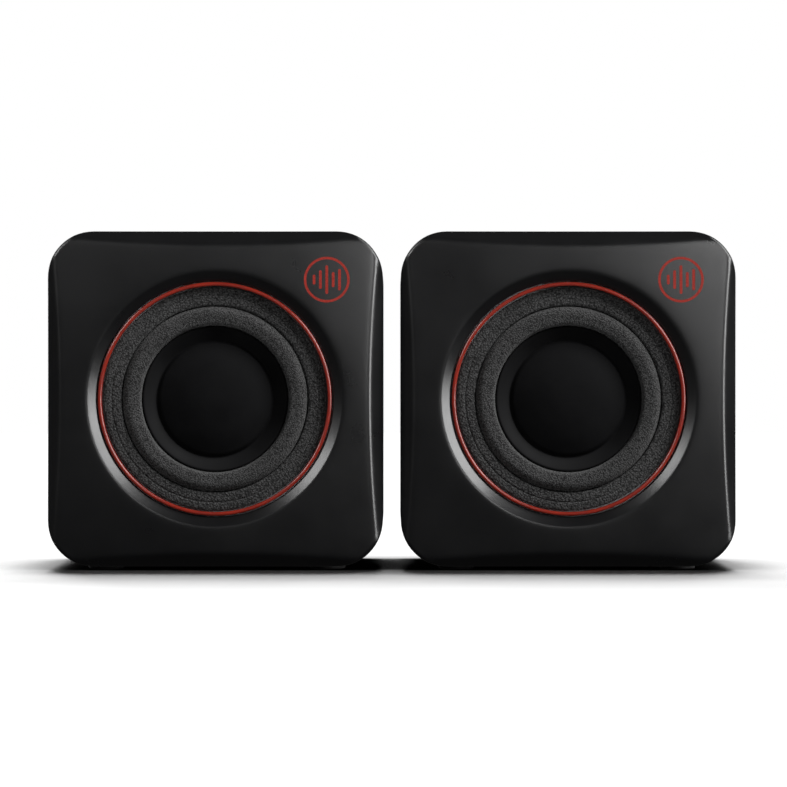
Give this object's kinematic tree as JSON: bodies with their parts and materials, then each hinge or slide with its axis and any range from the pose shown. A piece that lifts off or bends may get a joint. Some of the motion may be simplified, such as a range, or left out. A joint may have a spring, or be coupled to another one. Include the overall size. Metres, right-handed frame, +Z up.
{
  "type": "desktop speakers",
  "caption": "Square black desktop speakers with domed fronts, red-ringed foam-edged drivers, rubber feet, screwed rear covers and a rear volume knob.",
  "frame": {"origin": "on the table, under the middle of the pair: the centre of the bounding box at the bottom of the feet", "axes": "+X to the listener's right along the row of the two cabinets, the fronts face -Y, +Z up"},
  "size_m": [0.154, 0.0772, 0.0758],
  "materials": {
    "satin_black_abs": "satin",
    "textured_black_abs": "matte",
    "red_gloss_trim": "gloss",
    "coarse_foam": "matte",
    "roll_foam": "matte",
    "stamped_steel": "satin",
    "spider_cloth": "matte",
    "zinc_plate": "satin",
    "ferrite": "matte",
    "gland_rubber": "matte",
    "lead_insulation": "satin",
    "black_zinc_screw": "satin",
    "black_rubber": "matte",
    "cone_film": "satin",
    "cap_film": "satin",
    "enamelled_copper": "satin",
    "circuit_board": "satin",
    "chip_epoxy": "matte",
    "capacitor_sleeve": "satin",
    "potentiometer_case": "satin",
    "shaft_steel": "satin",
    "knob_abs": "satin"
  },
  "bodies": {
    "left_cabinet": {"left_front_shell": "satin_black_abs", "left_rear_cover": "textured_black_abs", "left_trim_ring": "red_gloss_trim", "left_gasket": "coarse_foam", "left_surround": "roll_foam", "left_basket": "stamped_steel", "left_spider": "spider_cloth", "left_top_plate": "zinc_plate", "left_magnet": "ferrite", "left_yoke": "zinc_plate", "left_cable_gland": "gland_rubber", "left_driver_lead": "lead_insulation", "left_cover_screw_1": "black_zinc_screw", "left_cover_screw_2": "black_zinc_screw", "left_cover_screw_3": "black_zinc_screw", "left_cover_screw_4": "black_zinc_screw", "left_driver_screw_1": "black_zinc_screw", "left_driver_screw_2": "black_zinc_screw", "left_driver_screw_3": "black_zinc_screw", "left_foot_1": "black_rubber", "left_foot_2": "black_rubber", "left_foot_3": "black_rubber", "left_foot_4": "black_rubber"},
    "left_diaphragm": {"left_cone": "cone_film", "left_dust_cap": "cap_film", "left_voice_coil": "enamelled_copper"},
    "right_cabinet": {"right_front_shell": "satin_black_abs", "right_rear_cover": "textured_black_abs", "right_trim_ring": "red_gloss_trim", "right_gasket": "coarse_foam", "right_surround": "roll_foam", "right_basket": "stamped_steel", "right_spider": "spider_cloth", "right_top_plate": "zinc_plate", "right_magnet": "ferrite", "right_yoke": "zinc_plate", "right_cable_gland": "gland_rubber", "right_driver_lead": "lead_insulation", "right_cover_screw_1": "black_zinc_screw", "right_cover_screw_2": "black_zinc_screw", "right_cover_screw_3": "black_zinc_screw", "right_cover_screw_4": "black_zinc_screw", "right_driver_screw_1": "black_zinc_screw", "right_driver_screw_2": "black_zinc_screw", "right_driver_screw_3": "black_zinc_screw", "right_foot_1": "black_rubber", "right_foot_2": "black_rubber", "right_foot_3": "black_rubber", "right_foot_4": "black_rubber", "amp_board": "circuit_board", "amp_chip": "chip_epoxy", "filter_capacitor": "capacitor_sleeve", "volume_potentiometer": "potentiometer_case", "board_screw_1": "black_zinc_screw", "board_screw_2": "black_zinc_screw"},
    "right_diaphragm": {"right_cone": "cone_film", "right_dust_cap": "cap_film", "right_voice_coil": "enamelled_copper"},
    "volume_knob": {"volume_shaft": "shaft_steel", "volume_knob": "knob_abs"}
  },
  "joints": [
    {"name": "right_placement", "type": "slide", "parent": "left_cabinet", "child": "right_cabinet", "axis": [1, 0, 0], "range_m": [0, 0.5]},
    {"name": "left_cone_travel", "type": "slide", "parent": "left_cabinet", "child": "left_diaphragm", "axis": [0, -1, 0], "range_m": [-0.0015, 0.0015], "stiffness_N_per_m": 1200, "deforming": ["left_surround", "left_spider"]},
    {"name": "right_cone_travel", "type": "slide", "parent": "right_cabinet", "child": "right_diaphragm", "axis": [0, -1, 0], "range_m": [-0.0015, 0.0015], "stiffness_N_per_m": 1200, "deforming": ["right_surround", "right_spider"]},
    {"name": "volume_turn", "type": "hinge", "parent": "right_cabinet", "child": "volume_knob", "pos_m": [0.0395, 0.03861, 0.0513], "axis": [0, -1, 0], "range_deg": [0, 300]}
  ]
}
